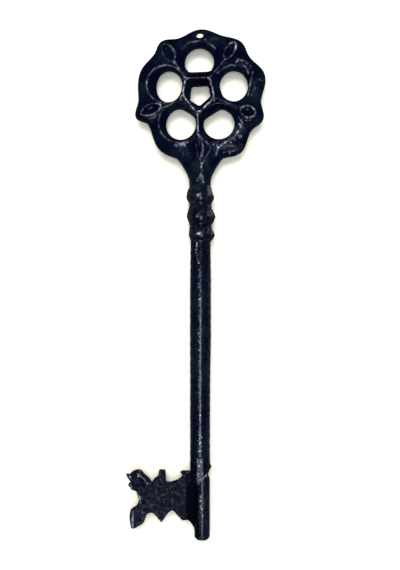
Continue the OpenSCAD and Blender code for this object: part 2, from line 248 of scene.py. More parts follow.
def scallop_r(deg):
    angles, rises = zip(*scallops)
    deg = np.where(deg < angles[0], deg + 360, deg)
    n = np.clip(np.searchsorted(angles, deg, side="right") - 1, 0, len(angles) - 2)
    a0, a1 = np.array(angles)[n], np.array(angles)[n + 1]
    r0, r1 = np.array(rises)[n], np.array(rises)[n + 1]
    return mean_r + r0 + (r1 - r0) * (1 - np.cos(np.pi * (deg - a0) / (a1 - a0))) / 2


def bow_side():
    """The outline as one line: up the right of the neck, round the lobes and down the left."""
    deg = np.linspace(-90, 270, 1441) % 360
    lobes = scallop_r(deg)[:, None] * outward(np.radians(deg))
    clear = abs(lobes[:, 0]) > lookup(lobes[:, 1], neck_width)
    lobes = lobes[clear | (lobes[:, 1] > neck_top)]
    v = np.linspace(neck_end, lobes[0][1], 60)
    right = np.stack([lookup(v, neck_width), v], axis=1)
    v = np.linspace(lobes[-1][1], neck_end, 60)
    left = np.stack([-lookup(v, neck_width), v], axis=1)
    line = along([*right[:-1], *lobes, *left[1:]], 0.3)
    for _ in range(24):
        line[1:-1] = (line[:-2] + 2 * line[1:-1] + line[2:]) / 4
        line[:8, 0] = np.maximum(line[:8, 0], neck_width[0][1])
        line[-8:, 0] = np.minimum(line[-8:, 0], -neck_width[0][1])
    return along(line, 0.6)


class Opening:
    """An eye or the pentagon: its throat and the crest round it, as distances from its centre."""

    def __init__(self, centre, throat, crest):
        self.centre, self.throat, self.crest = np.array(centre), throat, crest

    def polar(self, p):
        q = p - self.centre
        return np.arctan2(q[:, 1], q[:, 0]), np.linalg.norm(q, axis=1)

    def holds(self, p):
        a, r = self.polar(p)
        return r < self.throat(a)

    def ring(self, share, count=132):
        a = whole_turn(count)
        r = self.throat(a) + (self.crest(a) - self.throat(a)) * share
        return self.centre + r[:, None] * outward(a)

    def beside_crest(self, d, count=200):
        a = whole_turn(count)
        r = self.crest(a) + d
        return self.centre + r[:, None] * outward(a)


def eye_opening(i):
    deg, distance, r, flat, tall, rim_shift, rim_r = eyes[i]
    out = np.array([math.cos(math.radians(deg)), math.sin(math.radians(deg))])
    centre = out * distance

    def throat(a):
        cos = np.cos(a - math.radians(deg) - math.pi)
        chord = (distance - flat) / np.maximum(cos, 1e-3)
        oval = 1 / np.hypot(np.cos(a) / (r - tall), np.sin(a) / (r + tall))
        return blunt_least(oval, chord, eye_corner)

    left, right = spokes[(i + 1) % 5], spokes[i]
    far = [tuple(np.array(s[-1]) + (np.array(s[-1]) - np.array(s[0])) * 2) for s in (right, left)]
    between = [*right, far[0], tuple(out * 200), far[1], *left[::-1]]

    def crest(a):
        d = outward(a)
        b = d @ np.array(rim_shift)
        rim = b + np.sqrt(b * b + rim_r ** 2 - np.dot(rim_shift, rim_shift))
        return np.maximum(np.minimum(rim, reach(between, centre, a)), throat(a) + least_rim)

    return Opening(centre, throat, crest)


def pentagon_opening():
    hole = rounded(pentagon_hole)
    crest = rounded([(x, z, crest_cut) for x, z in pentagon_crest])
    return Opening((0, 0), lambda a: reach(hole, np.zeros(2), a), lambda a: reach(crest, np.zeros(2), a))


openings = [eye_opening(i) for i in range(5)] + [pentagon_opening()]
side_line = bow_side()
crest_rings = np.concatenate([o.ring(1, 264) for o in openings])


def crest_height(p):
    r = np.linalg.norm(p, axis=1)
    return rim_high + (crest_high - rim_high) * eased((crest_from - r) / crest_over)


def almond_place(p, almond):
    centre, half_l, half_w, deg = almond
    c, s = math.cos(math.radians(deg)), math.sin(math.radians(deg))
    q = p - np.array(centre)
    a, b = abs(q[:, 0] * c + q[:, 1] * s) / half_l, abs(-q[:, 0] * s + q[:, 1] * c) / half_w
    return (a ** almond_full + b ** almond_full) ** (1 / almond_full)


def bow_half(p):
    """Half thickness of the casting at each point of its face."""
    out = plate_half + np.zeros(len(p))
    near = np.concatenate([
        np.min(np.linalg.norm(part[:, None] - crest_rings[None], axis=2), axis=1)
        for part in np.array_split(p, max(1, len(p) // 2000))
    ])
    near = np.hypot(near, crest_round) - crest_round
    out += (crest_height(p) - plate_half) * np.exp(-near / crest_width)
    for spoke in spokes:
        d = line_distance(p, along(spoke[-2:], 5))
        out = np.maximum(out, spoke_high - spoke_fall * d)
    depth = lookup(p[:, 1], neck_depth)
    out += (depth - plate_half) * eased((neck_reach - abs(p[:, 0])) / neck_fade)
    for vein, high, _ in veins:
        d = line_distance(p, along(vein, 3))
        out += high * np.clip(1 - d / vein_half, 0, 1) * eased((p[:, 1] - neck_end - 1.5) / 3)
    for almond in almonds:
        e = almond_place(p, almond)
        lift = (depth - plate_half) * 0.8
        high = almond_high + lift
        off = np.hypot((e - 1) * almond[2], almond_round) - almond_round
        hollow = high - almond_hollow * np.clip(off / hollow_reach, 0, 1)
        out = np.where(e < 1, hollow, np.maximum(out, high - almond_fall * off))
    for spot, spread, height in crumples:
        w = np.exp(-(np.linalg.norm(p - np.array(spot), axis=1) / spread) ** 2)
        q = np.column_stack([p[:, 0], p[:, 1] * 0.8, p[:, 0] * 0])
        some = w > 0.03
        ridge = np.zeros(len(p))
        ridge[some] = 1 - 3.2 * abs(lumps(q[some], 3.1, 3.0)) + 0.5 * lumps(q[some], 1.3, 5.0)
        out += w * height * ridge * 0.55
    for o in openings:
        a, r = o.polar(p)
        width = o.crest(a) - o.throat(a)
        t = (r - o.throat(a)) / width
        top = crest_height(o.centre + (o.crest(a) / np.maximum(r, 1e-6))[:, None] * (p - o.centre))
        short = np.hypot((1 - t) * width, crest_round) - crest_round
        funnel = lip_half + (top - lip_half) * np.clip(1 - short / width, 0, 1) ** 0.8
        out = np.where(t <= 1, funnel, out)
    inset = line_distance(p, side_line)
    share = 1 - np.clip(inset / lookup(p[:, 1], neck_round), 0, 1)
    return out * np.sqrt(np.maximum(1 - share ** 2, 0))


# the least gaps between a casting's points, on its rings and in its fill, the fill's rows as a
# share of its step, and the area under which a triangle is left out
ring_gap, fill_gap, row_share, least_area = 0.12, 0.45, 0.866, 1e-7
# the half thickness under which the two faces meet, and from which the skin is at its full depth
meet_half, skin_half = 0.02, 1.2


def cell(q, gap):
    return math.floor(q[0] / gap), math.floor(q[1] / gap)


def spaced(points, gap, cells):
    """The points that keep a gap to each other and to those already in the cells."""
    kept = []
    for q in points:
        i, j = cell(q, gap)
        near = (o for a in (-1, 0, 1) for b in (-1, 0, 1) for o in cells.get((i + a, j + b), ()))
        if all(abs(o[0] - q[0]) + abs(o[1] - q[1]) >= gap for o in near):
            cells.setdefault((i, j), []).append(q)
            kept.append(q)
    return kept


def casting(name, outline, cuts, lines, holes, half, skin, step):
    """A two-faced casting: an outline filled with fine triangles, and raised to both sides."""
    points = [*outline]
    edges = [(k, (k + 1) % len(outline)) for k in range(len(outline))]
    for line, closed in lines:
        first = len(points)
        points += [*line]
        edges += [(first + k, first + k + 1) for k in range(len(line) - 1)]
        if closed:
            edges.append((len(points) - 1, first))
    fixed = np.array(points)
    low, high = outline.min(axis=0), outline.max(axis=0)
    rows = np.arange(low[1], high[1], step * row_share)
    fill = np.array([
        (x + (k % 2) * step / 2, z)
        for k, z in enumerate(rows)
        for x in np.arange(low[0], high[0], step)
    ])
    fill = fill[inside(fill, outline)]
    cells = {}
    for q in fixed:
        cells.setdefault(cell(q, ring_gap), []).append(q)
    rings = spaced(np.concatenate(cuts), ring_gap, cells)
    cells = {}
    for q in [*fixed, *rings]:
        cells.setdefault(cell(q, fill_gap), []).append(q)
    points = np.concatenate([fixed, rings, spaced(fill, fill_gap, cells)])
    made = delaunay_2d_cdt([Vector(q) for q in points], edges, [], 0, 1e-5)
    flat = np.array([tuple(v) for v in made[0]])
    faces = np.array([f for f in made[2] if len(f) == 3])
    middle = flat[faces].mean(axis=1)
    good = inside(middle, outline)
    for hole in holes:
        good &= ~hole(middle)
    faces = faces[good]
    area = np.cross(flat[faces[:, 1]] - flat[faces[:, 0]], flat[faces[:, 2]] - flat[faces[:, 0]])
    faces = faces[abs(area) > least_area]
    area = area[abs(area) > least_area]
    faces[area < 0] = faces[area < 0][:, ::-1]
    used = np.unique(faces)
    renumber = np.full(len(flat), -1)
    renumber[used] = np.arange(len(used))
    faces, flat = renumber[faces], flat[used]
    h = half(flat)
    shared = h < meet_half
    h[shared] = 0
    back = np.arange(len(flat)) + len(flat)
    back[shared] = np.arange(len(flat))[shared]
    front_p = np.column_stack([flat[:, 0], -h, flat[:, 1]])
    back_p = np.column_stack([flat[:, 0], h, flat[:, 1]])
    grow = eased(h / skin_half)
    front_p[:, 1] -= skin(front_p) * grow
    back_p[:, 1] += skin(back_p) * grow
    tris = [tuple(map(int, f)) for f in faces]
    steps = dict.fromkeys((f[k], f[(k + 1) % 3]) for f in tris for k in range(3))
    border = [(a, b) for a, b in steps if (b, a) not in steps]
    tris += [tuple(int(back[k]) for k in f[::-1]) for f in faces]
    for a, b in border:
        wall = [b, a, int(back[a]), int(back[b])]
        wall = [k for n, k in enumerate(wall) if k not in wall[:n]]
        if len(wall) > 2:
            tris.append(tuple(wall))
    return solid(name, np.concatenate([front_p, back_p]), tris)


def placed(name, data):
    """A new object of the scene, made of the given data."""
    made = bpy.data.objects.new(name, data)
    bpy.context.scene.collection.objects.link(made)
    return made


sharp_from = math.radians(55)


def solid(name, points, faces):
    """One smooth-shaded piece from points in millimetres, with its loose points left out."""
    used = sorted({k for f in faces for k in f})
    number = {k: n for n, k in enumerate(used)}
    mesh = bpy.data.meshes.new(name)
    mesh.from_pydata([tuple(points[k] * MM) for k in used], [], [[number[k] for k in f] for f in faces])
    mesh.validate()
    mesh.shade_smooth()
    mesh.set_sharp_from_angle(angle=sharp_from)
    return placed(name, mesh)


def cast_skin(p):
    """The uneven skin of the sand casting, under its paint."""
    return 0.12 * lumps(p, 7, 1.0) + 0.035 * lumps(p, 2.6, 2.0) + 0.012 * lumps(p, 1.2, 4.0)


def bow_skin(p):
    """The same skin, which fades out where the neck meets the upper collar."""
    return cast_skin(p) * eased((p[:, 2] - neck_end) / 5)


def inset_lines(line, insets):
    """Lines of points that follow an outline at small distances inside it."""
    run = np.gradient(line, axis=0)
    run /= np.linalg.norm(run, axis=1)[:, None]
    normal = np.stack([-run[:, 1], run[:, 0]], axis=1)
    rows = [line + normal * d for d in insets]
    return [row[line_distance(row, line) > d * 0.85] for row, d in zip(rows, insets)]


end_angle = np.linspace(0, np.pi, 25)[1:-1]
neck_cut = np.stack([-neck_width[0][1] * np.cos(end_angle), np.full(len(end_angle), neck_end)], axis=1)
bow_outline = np.concatenate([side_line, neck_cut])
# rows of points where the face curves most: along the outline, the openings and the crests
bow_cuts = inset_lines(side_line, [0.03, 0.12, 0.28, 0.5, 0.8, 1.2, 1.7, 2.3, 2.95])
bow_cuts += [o.ring(t) for o in openings for t in (0.03, 0.1, 0.22, 0.36, 0.52, 0.68, 0.82)]
bow_cuts += [o.beside_crest(d) for o in openings for d in (-0.9, -0.5, -0.22, 0.25, 0.55, 1.0)]
bow_lines = [(o.ring(0), True) for o in openings] + [(o.ring(1, 200), True) for o in openings]
bow_lines += [(along(vein, 0.6), False) for vein, _, _ in veins]


def almond_ring(almond, share):
    centre, half_l, half_w, deg = almond
    a = whole_turn(56)
    c, s = abs(np.cos(a)) / half_l, abs(np.sin(a)) / half_w
    r = share / (c ** almond_full + s ** almond_full) ** (1 / almond_full)
    a += math.radians(deg)
    return np.array(centre) + r[:, None] * outward(a)


bow_lines += [(almond_ring(almond, 1), True) for almond in almonds]
bow_cuts += [almond_ring(almond, share) for almond in almonds for share in (0.85, 1.1, 0.6)]
hang_r = 3.1
hang = np.array([0, -hub_z])
hang_ring = hang + hang_r * outward(whole_turn(40))
bow_lines.append((hang_ring, True))
bow_cuts.append(hang + (hang_ring - hang) * 1.15)
bow_holes = [o.holds for o in openings]
bow_holes.append(lambda p: np.linalg.norm(p - hang, axis=1) < hang_r)
bow = casting("bow_casting", bow_outline, bow_cuts, bow_lines, bow_holes, bow_half, bow_skin, 0.8)
bow.data.transform(Matrix.Translation((0, 0, hub_z * MM)))


def marked(piece, name, share):
    """A mark on each point of a piece, from 0 to 1, for its material to read."""
    mark = piece.data.attributes.new(name, "FLOAT", "POINT")
    places = np.empty(len(piece.data.vertices) * 3)
    piece.data.vertices.foreach_get("co", places)
    mark.data.foreach_set("value", share(places.reshape(-1, 3) / MM).astype(np.float32))


# how much of the paint is rubbed off each crest, 0 to 1; the rubbed paint is also a painted highlight
# along the crest
pentagon_wear_and_highlight, pentagon_top_wear_and_highlight = 1.0, 0.15
spoke_wear_and_highlight = [0.12, 0.8, 0.45, 0.9, 0.1]
# the rubbed stretch of each eye's rim, painted as a highlight too: from and to an angle round the eye, and
# how much
rim_wear_and_highlight = [(115, 150, 0.12), (50, 265, 0.42), (120, 285, 0.22), (290, 320, 0.3), (-35, 12, 0.22)]
# the side of each almond with the most rub and painted highlight, as an angle round it, how much, and how
# much all round
almond_wear_and_highlight = [(30, 0.6, 0.3), (10, 0.7, 0.1), (-40, 0.6, 0.3), (0, 0.9, 0.12), (-70, 0.5, 0.5)]
wear_and_highlight_width = 0.75
# the back gets less wear and painted highlight than the front
back_share = 0.6
# further scuffs and painted glints: points, and how much
scuffs_and_glints = [
    ([(4.8, -37.6), (8.5, -41.7)], 0.7), ([(12.1, -48.2), (14.2, -42.5), (17.9, -39.2)], 1.0),
    ([(17.0, -40.0), (21.5, -37.6), (23.2, -32.7)], 1.0), ([(25.2, -35.1), (30.1, -29.4)], 0.9),
    ([(29.7, -24.5), (31.4, -26.1)], 1.0), ([(22.4, -44.6), (22.8, -46.2)], 0.9),
    ([(21.1, -41.3), (24.4, -40.1)], 0.8), ([(27.2, 21.9), (29.2, 24.8)], 0.4),
    ([(39.9, 14.6), (39.1, 10.8), (38.2, 5.4), (36.5, -3.0)], 0.45),
    ([(13.0, 13.8), (18.0, 17.7), (23.4, 20.0), (27.2, 19.2)], 0.22),
    ([(41.2, 5.0), (41.6, 1.7)], 0.35), ([(44.9, 9.5), (47.3, 8.2)], 0.3),
    ([(-18.1, -39.2), (-11.6, -38.4), (-11.2, -40.5)], 0.55), ([(-15.7, -43.3), (-12.4, -46.6)], 0.25),
    ([(16.6, -43.1), (20.8, -41.5), (27.4, -40.8)], 0.45), ([(28.4, -31.8), (26.5, -36.5)], 0.5),
    ([(8.0, 9.9), (8.5, 5.0)], 1.0), ([(10.5, -1.6), (10.9, -6.5)], 1.0),
    ([(1.5, -36.0), (2.2, -40.0), (1.9, -45.0), (0.9, -50.0)], 1.0),
]
# places with a painted dull sheen, as thinned paint: points, reach and how much
painted_sheen_spots = [
    ([(-15.7, -4.9), (-6.7, -11.4), (-3.4, -16.3)], 2.6, 0.072),
    ([(-13.2, 13.1), (-12.0, 12.0)], 2.5, 0.048),
    ([(6.4, 37.7), (13.0, 38.5)], 3.0, 0.03), ([(-12.8, 36.0), (-12.0, 34.5)], 2.5, 0.03),
    ([(29.3, 22.1), (35.9, 18.0)], 3.0, 0.03), ([(41.6, 8.2), (41.6, -1.6)], 2.2, 0.01),
    ([(-14.9, -40.1), (-10, -48.2)], 3.0, 0.055), ([(-3.4, -56.4), (1.5, -68.7)], 3.0, 0.03),
    ([(4.8, -52.3), (4.0, -67)], 2.4, 0.015), ([(21.1, -42.5), (29.3, -42.5)], 3.0, 0.054),
    ([(-39.0, -18.4), (-35.5, -19.0)], 2.5, 0.054), ([(24.0, -31.0), (30.0, -27.0)], 3.5, 0.06),
    ([(12.0, -41.0), (20.0, -38.5)], 3.5, 0.06),
]


def bow_wear_and_highlight(p):
    """How far the paint is rubbed off at each point of the bow; the rubbed paint also paints the crests'
    highlights, the glints and a dull painted sheen.
    """
    flat = np.stack([p[:, 0], p[:, 2] - hub_z], axis=1)
    wear_and_highlight_share = np.zeros(len(p))

    def wear_and_highlight(line, strength):
        close = np.clip(1 - line_distance(flat, line) / wear_and_highlight_width, 0, 1)
        np.maximum(wear_and_highlight_share, close * strength, out=wear_and_highlight_share)

    for o, (start, end, strength) in zip(openings, rim_wear_and_highlight):
        ring = o.ring(1, 180)
        wear_and_highlight(ring[np.arange(start // 2, end // 2, 3) % 180], strength)
    ring = openings[-1].ring(1, 60)
    for a, b in zip(ring, np.roll(ring, -1, axis=0)):
        wear_and_highlight([a, b], pentagon_top_wear_and_highlight if min(a[1], b[1]) > 10 else pentagon_wear_and_highlight)
    for spoke, strength in zip(spokes, spoke_wear_and_highlight):
        wear_and_highlight(spoke, strength)
    for almond, (side, strength, round_it) in zip(almonds, almond_wear_and_highlight):
        ring = almond_ring(almond, 1)[::2]
        for a, b in zip(ring, np.roll(ring, -1, axis=0)):
            d = (a + b) / 2 - np.array(almond[0])
            facing = math.cos(math.atan2(d[1], d[0]) - math.radians(side))
            wear_and_highlight([a, b], round_it + strength * max(0.0, facing))
    for line, strength in [(vein, wear_and_highlight_by) for vein, _, wear_and_highlight_by in veins] + scuffs_and_glints:
        wear_and_highlight(line, strength)
    for line, spread, strength in painted_sheen_spots:
        d = line_distance(flat, line)
        np.maximum(wear_and_highlight_share, strength * np.exp(-(d / spread) ** 2), out=wear_and_highlight_share)
    return wear_and_highlight_share * (p[:, 1] < 0) + back_share * wear_and_highlight_share * (p[:, 1] >= 0)


# the colours of the enamel, of its sandy face, of rubbed places that also stand for painted highlights and
# glints, and of the painted shade in the corner beside the barrel
navy_tones = [
    (0.36, (0.0003, 0.0013, 0.0095)),
    (0.52, (0.0009, 0.0030, 0.0155)),
    (0.66, (0.0033, 0.0106, 0.0200)),
]
sandy_tones = [
    (0.38, (0.0013, 0.003, 0.011)),
    (0.55, (0.005, 0.008, 0.019)),
    (0.68, (0.05, 0.054, 0.068)),
]
worn_and_highlight_tones = [(0.44, (0.38, 0.41, 0.54)), (0.62, (0.94, 0.95, 1.0))]
painted_shade_tone = (0.0008, 0.0014, 0.0050, 1)
sandy_gloss, shaded_corner_gloss = (0.42, 0.42, 0.42, 1), (0.14, 0.14, 0.14, 1)
# the enamel's grain: scale, detail and height in metres, and its strength on smooth iron
grains = ((700, 3, 0.0001), (2600, 2, 0.00002))
smooth_grain = 0.22


def fresh_material(name):
    """A new material, with its nodes and links."""
    material = bpy.data.materials.new(name)
    material.use_nodes = True
    return material, material.node_tree.nodes, material.node_tree.links


def greys(*stops):
    """A ramp's stops in grey: place and value."""
    return [(place, (value,) * 3) for place, value in stops]


def enamel(name, specular=0.45, coat=0.3):
    """Gloss navy-black enamel, brushed thick over a sand casting and rubbed thin on its crests; the rubbed
    paint is also a painted highlight, and one mark paints shade.
    """
    material, nodes, links = fresh_material(name)
    shader = nodes["Principled BSDF"]
    where = nodes.new("ShaderNodeTexCoord")

    def spots(scale, detail):
        node = nodes.new("ShaderNodeTexNoise")
        node.inputs["Scale"].default_value = scale
        node.inputs["Detail"].default_value = detail
        links.new(where.outputs["Object"], node.inputs["Vector"])
        return node.outputs["Fac"]

    def ramp(source, stops):
        node = nodes.new("ShaderNodeValToRGB")
        while len(node.color_ramp.elements) < len(stops):
            node.color_ramp.elements.new(0.5)
        for element, (place, colour) in zip(node.color_ramp.elements, stops):
            element.position = place
            element.color = (*colour, 1)
        links.new(source, node.inputs["Fac"])
        return node.outputs["Color"]

    def blend(share, first, second, mode="MIX"):
        node = nodes.new("ShaderNodeMix")
        node.data_type = "RGBA"
        node.blend_type = mode
        for socket, value in (("Factor_Float", share), ("A_Color", first), ("B_Color", second)):
            socket = next(i for i in node.inputs if i.identifier == socket)
            if isinstance(value, (tuple, float)):
                socket.default_value = value
            else:
                links.new(value, socket)
        return next(o for o in node.outputs if o.identifier == "Result_Color")

    def mark(which):
        node = nodes.new("ShaderNodeAttribute")
        node.attribute_name = which
        return node.outputs

    # one mark lightens the paint for wear and as painted highlights, glints and sheen; the other darkens a
    # corner as painted shade
    sand, painted_shade, crest = mark("sand")["Fac"], mark("painted_shade")["Fac"], mark("wear_and_highlight")["Color"]
    tone = blend(sand, ramp(spots(70, 4), navy_tones), ramp(spots(480, 4), sandy_tones))
    # painted shade: the corner beside the barrel is darkened here
    tone = blend(painted_shade, tone, painted_shade_tone)
    patchy = ramp(spots(380, 3), greys((0.42, 0.10), (0.6, 1)))
    broad = ramp(spots(110, 2), greys((0.38, 0.3), (0.58, 1.3)))
    wear_and_highlight = blend(1.0, crest, blend(1.0, patchy, broad, "MULTIPLY"), "MULTIPLY")
    tone = blend(wear_and_highlight, tone, ramp(spots(450, 2), worn_and_highlight_tones))
    links.new(tone, shader.inputs["Base Color"])
    gloss = ramp(spots(240, 3), greys((0.35, 0.13), (0.7, 0.27)))
    gloss = blend(sand, gloss, sandy_gloss)
    gloss = blend(painted_shade, gloss, shaded_corner_gloss)
    links.new(gloss, shader.inputs["Roughness"])
    shader.inputs["Specular IOR Level"].default_value = specular
    shader.inputs["Coat Weight"].default_value = coat
    shader.inputs["Coat Roughness"].default_value = 0.1
    strength = nodes.new("ShaderNodeMapRange")
    strength.inputs["To Min"].default_value = smooth_grain
    links.new(sand, strength.inputs["Value"])
    bump = None
    for scale, detail, distance in grains:
        node = nodes.new("ShaderNodeBump")
        node.inputs["Distance"].default_value = distance
        links.new(strength.outputs["Result"], node.inputs["Strength"])
        links.new(spots(scale, detail), node.inputs["Height"])
        if bump:
            links.new(bump.outputs["Normal"], node.inputs["Normal"])
        bump = node
    links.new(bump.outputs["Normal"], shader.inputs["Normal"])
    links.new(bump.outputs["Normal"], shader.inputs["Coat Normal"])
    return material


navy = enamel("navy_enamel")
bow.data.materials.append(navy)
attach(bow, "root")
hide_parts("bow")
marked(bow, "wear_and_highlight", bow_wear_and_highlight)

# The three collars: turned-looking rings with a rounded bead each, threaded on the tenon
# between the neck and the shank. They are cast, so a thin fin of iron stands on each flank
# where the mould's halves met, and the beads sit a little askew.
bore_r = 5.55
collar_sand = 0.12
bead_share = 0.78
bead_tilt, bead_reach = 0.075, 10
# each collar: its bead's radius, how much that changes on the left, how far the bead lies under the
# collar's middle, the radius of the top and the bottom end, and the worn spot's place and strength
# the worn spot on each bead is also a painted glint
collars = {
    "collar_upper": (10.2, 0, 0.6, (8.1, 8.3), (-0.6, 0.9)),
    "collar_middle": (11.0, -1.0, 0.5, (8.3, 8.3), (-1.2, 2.6)),
    "collar_lower": (10.4, -1.8, -0.1, (8.3, 7.5), (-0.1, 1.1)),
}
# how far the collars and the bar stray to the right of the axis, by height
bend_rows = [
    (-112, 0), (-118, 0.05), (-131, 0.25), (-150, 0.45), (-165, 0.4), (-225, 0.35), (-270, 0.1), (-300, 0),
]
collar_fin, fin_width, flank_r = 0.3, 0.45, 8
sides = 112
turn = whole_turn(sides)


def turned(name, rings, closed=True):
    """A ring, or an open bar, from rows of points that each go once round the axis."""
    points = np.concatenate(rings)
    faces = []
    for i in range(len(rings) if closed else len(rings) - 1):
        n = (i + 1) % len(rings)
        faces += [
            (i * sides + k, i * sides + (k + 1) % sides, n * sides + (k + 1) % sides, n * sides + k)
            for k in range(sides)
        ]
    return solid(name, points, faces)


def level_ring(radius, z):
    return np.stack([radius * np.cos(turn), radius * np.sin(turn), z + 0 * turn], axis=1)


def flank_fin(z, high):
    """The fin along the parting line, on the left and right flanks."""
    off = abs((turn + np.pi / 2) % np.pi - np.pi / 2) * flank_r
    return high * np.exp(-(off / fin_width) ** 2) * (0.7 + 0.5 * np.sin(z * 0.9) + 0.3 * np.sin(z * 2.3))


def round_ring(radius, z, skin, fin):
    """One row of a round casting, with a share of its skin and the fin on its flanks."""
    base = level_ring(radius, z)
    bumps = cast_skin(base) + 0.08 * lumps(base, 2.6, 11.0) + 0.035 * lumps(base, 1.1, 12.0)
    row = level_ring(radius + skin * bumps + flank_fin(z, fin) * skin, z)
    row[:, 0] += lookup(z, bend_rows)
    return row


for number, node in enumerate(collars):
    bead_r, left_change, drop, (top_r, end_r), (spot_x, spot_wear_and_glint) = collars[node]
    bottom, top = (corner[2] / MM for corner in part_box(node))
    rows = [level_ring(bore_r, top)]
    for t in np.linspace(0, 1, 30):
        z = top + (bottom - top) * t
        lean = bead_tilt * math.sin(math.pi * t) * bead_reach * np.cos(turn)
        off = abs((t - 0.5) * (top - bottom) - drop - lean)
        edge = top_r + (end_r - top_r) * eased(t)
        swell = np.maximum(1 - (off * 2 / (top - bottom) / bead_share) ** 2, 0)
        bead = bead_r + left_change * (1 - np.cos(turn)) / 2
        radius = edge + (bead - edge) * swell
        fade = float(eased(min(t, 1 - t) / 0.12))
        rows.append(round_ring(radius, z, 0.15 + 0.75 * fade, collar_fin * (0.5 + 1.0 * fade)))
    rows.append(level_ring(bore_r, bottom))
    collar = turned(f"{node}_casting", rows)
    collar.data.materials.append(navy)
    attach(collar, "root")
    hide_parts(node)
    marked(collar, "sand", lambda p: np.full(len(p), collar_sand))
    crest_z = (top + bottom) / 2 - drop

    def bead_wear_and_glint(p):
        """A painted glint, as a worn spot in front on the bead's crest, and a painted sheen, thin all over
        and most on its right shoulder.
        """
        x, over = p[:, 0], p[:, 2] - crest_z
        flank = eased((x - 5) / 2) * eased((10.4 - x) / 0.8) * eased((over + 1.5) / 1.5)
        off = np.hypot((x - spot_x) / 2.0, (over - 0.3 * x) / 1.2)
        spot = spot_wear_and_glint * np.clip(1.2 - 1.3 * off + 1.0 * lumps(p, 1.1, 15.0 + number), 0, 1)
        sheen = 0.03 * np.clip(0.5 + 1.2 * lumps(p, 3.0, 19.0), 0, 1)
        return (p[:, 1] < 0) * np.maximum.reduce([spot, 0.15 * flank, sheen])

    marked(collar, "wear_and_highlight", bead_wear_and_glint)

# The shank: a round cast bar, with a tenon at its top that carries the collars and goes up
# into the neck. Its lower end is cut slanting to meet the bit, and is filed flat in front.
tenon_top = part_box("shank")[1][2] / MM
shoulder_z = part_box("collar_lower")[0][2] / MM
tenon_r, tenon_bevel = 5.5, 0.5
# the joint's height where its slanting plane lies a little left of the axis, and its slope
joint_z, joint_left, joint_slope = -340.5, 1, math.tan(math.radians(44))
shank_r = 7.5
# the bar's radius, by height
swell_rows = [(-345, 7.4), (-270, 7.5), (-225, 7.85), (-190, 7.85), (-170, 7.6), (-158, 7.5)]
# how far the burr stands out of the right flank, by height over the joint
burr_rows = [(5.6, -2.2), (12.2, 1.7), (13.4, 0.2), (16, 0)]
burr_width = 0.3
# the filed flat: its distance from the axis, its top over the joint and how softly it ends there
flat_y, flat_top, flat_end, flat_tilt = 7.0, 21, 2, math.radians(0.1)
# the step filed beside it on the left: its depth, its top over the joint and how softly it ends
step_deep, step_top, step_end, step_x = 0.9, 22.5, 3, -2.2


def shank_row(z, fade):
    """One row of the bar, with the filed flat and the burr near its lower end."""
    z = z + 0 * turn
    radius = lookup(z, swell_rows)
    row = round_ring(radius, z, 0.15 + 0.6 * fade, 0.22)
    from_right = abs((turn + np.pi) % (2 * np.pi) - np.pi)
    burr = np.exp(-(from_right / burr_width) ** 2)
    row[:, :2] *= (1 + burr * lookup(z - joint_z, burr_rows) / radius)[:, None]
    depth = -row[:, 1] * math.cos(flat_tilt) + row[:, 0] * math.sin(flat_tilt)
    depth += 0.06 * lumps(row, 1.6, 18.0)
    filed = np.maximum(depth - flat_y + 0.4 * eased((joint_z + 12 - z) / 6), 0)
    row[:, 1] += filed * eased((joint_z + flat_top - z) / flat_end)
    left = eased((step_x - row[:, 0]) / 0.5) * (row[:, 1] < 0)
    step = step_deep * eased((joint_z + step_top - z) / step_end)
    row[:, 1] += step * left * np.minimum(1, (row[:, 0] + shank_r) / 1.5)
    return row


rows = [
    level_ring(0.01, tenon_top),
    level_ring(tenon_r - tenon_bevel, tenon_top),
    level_ring(tenon_r, tenon_top - tenon_bevel),
    level_ring(tenon_r, shoulder_z),
]
bar_rows, joint_rows, level_end = 300, 24, 10
for k in range(bar_rows):
    z = shoulder_z + (joint_z + level_end - shoulder_z) * k / (bar_rows - 1)
    rows.append(shank_row(z, float(eased(k / 8))))
slant = joint_z + joint_slope * (shank_r * np.cos(turn) + joint_left)
for k in range(1, joint_rows + 1):
    rows.append(shank_row(joint_z + level_end + (slant - joint_z - level_end) * k / joint_rows, 1.0))
cap = rows[-1].copy()
cap[:, :2] *= 0.02
cap[:, 2] = joint_z + joint_slope * joint_left
rows.append(cap)
shank = turned("cast_shank", rows, closed=False)
shank.data.materials.append(navy)
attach(shank, "root")
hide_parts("shank")


def filed_share(p):
    """Where the front is filed flat over the joint."""
    return eased((-p[:, 1] - 6.2) / 0.3) * eased((joint_z + flat_top - p[:, 2]) / flat_end)


def shank_sand(p):
    """How sandy the paint looks: a little all over, and more on the filed flat."""
    return 0.18 + 0.5 * (filed_share(p) * eased((p[:, 0] + 3.2) / 0.5))


# how far the worn line, which also paints the shank's highlight, strays from the middle of the front, by
# height
worn_highlight_offsets = [
    (-150, -2.5), (-165, -2.2), (-171, -1.1), (-177, -0.6), (-184, -0.1), (-208, 0.25), (-245, -0.2),
    (-262, 0.2), (-330, 0.2),
]
# the worn line and its painted highlight are fine above one height, brightest along one stretch and dull
# along the next
fine_from, bright_stretch, dull_stretch = -190, (-318, -301), (-321.5, -317)


